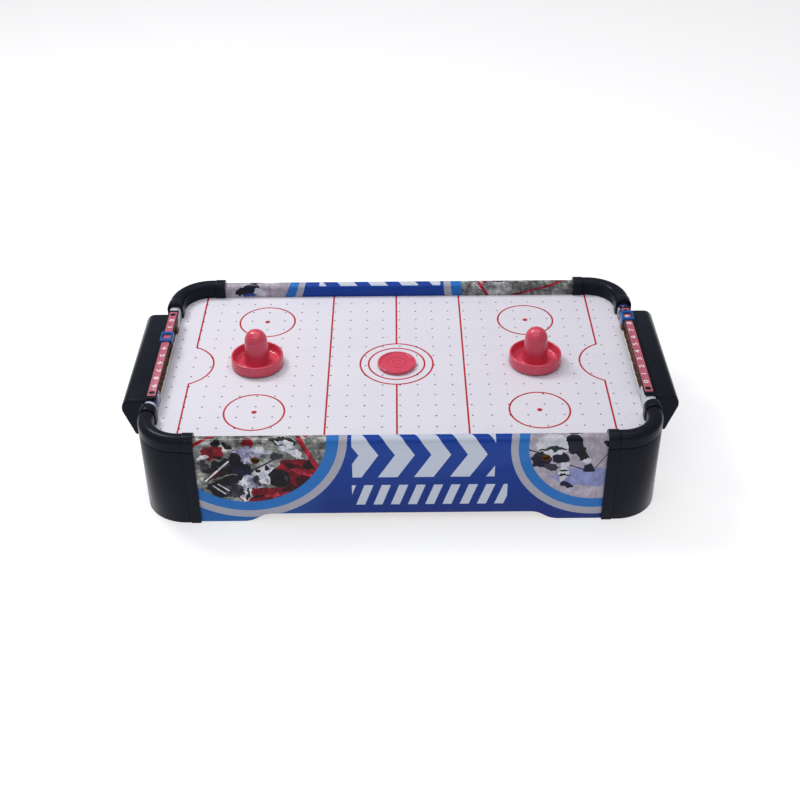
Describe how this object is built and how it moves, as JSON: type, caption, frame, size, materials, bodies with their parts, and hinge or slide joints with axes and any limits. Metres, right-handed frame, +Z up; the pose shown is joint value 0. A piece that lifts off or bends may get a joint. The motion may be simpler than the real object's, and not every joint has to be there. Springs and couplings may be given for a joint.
{
  "type": "air hockey table",
  "caption": "Tabletop air hockey table: perforated playfield blown by a battery fan, printed board frame with moulded corners, goal boxes, sliding score markers, strikers and a puck.",
  "frame": {"origin": "on the floor under the middle of the table", "axes": "+X along the table's length to the right, +Y across it to the back, +Z up"},
  "size_m": [0.558, 0.309, 0.128],
  "materials": {
    "printed_board": "fibreboard wrapped in glossy printed vinyl",
    "black_plastic": "satin moulded plastic",
    "white_field": "fibreboard with a satin white printed face, perforated",
    "raw_board": "raw brown fibreboard",
    "red_plastic": "semi-gloss moulded plastic",
    "pink_strip": "printed number strip",
    "blue_plastic": "semi-gloss moulded plastic",
    "white_plastic": "satin moulded plastic",
    "felt": "dark felt pad",
    "steel": "zinc-plated steel",
    "cell_jacket": "glossy printed cell jacket",
    "lead_cover": "satin wire insulation"
  },
  "bodies": {
    "table": {"base_board": "raw_board", "batten_back": "raw_board", "batten_front": "raw_board", "battery_box": "black_plastic", "battery_lead": "lead_cover", "cell_1": "cell_jacket", "cell_2": "cell_jacket", "cell_3": "cell_jacket", "cell_4": "cell_jacket", "cell_5": "cell_jacket", "cell_6": "cell_jacket", "contact_strip_back": "steel", "contact_strip_front": "steel", "corner_cap_back_left": "black_plastic", "corner_cap_back_right": "black_plastic", "corner_cap_front_left": "black_plastic", "corner_cap_front_right": "black_plastic", "corner_post_back_left": "black_plastic", "corner_post_back_right": "black_plastic", "corner_post_front_left": "black_plastic", "corner_post_front_right": "black_plastic", "end_rail_left": "printed_board", "end_rail_right": "printed_board", "fan_housing": "black_plastic", "fan_motor": "steel", "goal_box_left": "black_plastic", "goal_box_right": "black_plastic", "goal_box_screw_left_back": "steel", "goal_box_screw_left_front": "steel", "goal_box_screw_right_back": "steel", "goal_box_screw_right_front": "steel", "inlet_grille": "black_plastic", "motor_lead": "lead_cover", "panel_screw_back_left": "steel", "panel_screw_back_right": "steel", "panel_screw_front_left": "steel", "panel_screw_front_right": "steel", "playfield": "white_field", "score_bar_left": "black_plastic", "score_bar_right": "black_plastic", "score_bar_screw_left_back": "steel", "score_bar_screw_left_front": "steel", "score_bar_screw_right_back": "steel", "score_bar_screw_right_front": "steel", "score_strip_left": "pink_strip", "score_strip_right": "pink_strip", "side_rail_back": "printed_board", "side_rail_front": "printed_board", "switch_body": "black_plastic"},
    "striker_left": {"striker_left": "red_plastic", "striker_felt_left": "felt"},
    "striker_right": {"striker_right": "red_plastic", "striker_felt_right": "felt"},
    "puck": {"puck": "red_plastic"},
    "score_slider_left": {"score_slider_left": "blue_plastic"},
    "score_slider_right": {"score_slider_right": "blue_plastic"},
    "fan_rotor": {"fan_rotor": "white_plastic"},
    "switch_rocker": {"switch_rocker": "black_plastic"},
    "battery_door": {"battery_door": "black_plastic"}
  },
  "joints": [
    {"name": "striker_left_slide", "type": "slide", "parent": "table", "child": "striker_left", "axis": [1, 0, 0], "range_m": [-0.062, 0.097]},
    {"name": "striker_right_slide", "type": "slide", "parent": "table", "child": "striker_right", "axis": [1, 0, 0], "range_m": [-0.096, 0.069]},
    {"name": "puck_slide", "type": "slide", "parent": "table", "child": "puck", "axis": [0, 1, 0], "range_m": [-0.115, 0.12]},
    {"name": "score_slider_left_slide", "type": "slide", "parent": "table", "child": "score_slider_left", "axis": [0, 1, 0], "range_m": [-0.09035, 0.03475]},
    {"name": "score_slider_right_slide", "type": "slide", "parent": "table", "child": "score_slider_right", "axis": [0, 1, 0], "range_m": [-0.1251, 0]},
    {"name": "fan_spin", "type": "hinge", "parent": "table", "child": "fan_rotor", "pos_m": [0, 0, 0.052], "axis": [0, 0, 1], "continuous": true},
    {"name": "switch_rocker_tilt", "type": "hinge", "parent": "table", "child": "switch_rocker", "pos_m": [0.15, 0.1514, 0.06], "axis": [1, 0, 0], "range_deg": [-20, 0]},
    {"name": "battery_door_slide", "type": "slide", "parent": "table", "child": "battery_door", "axis": [0, -1, 0], "range_m": [0, 0.06]}
  ]
}
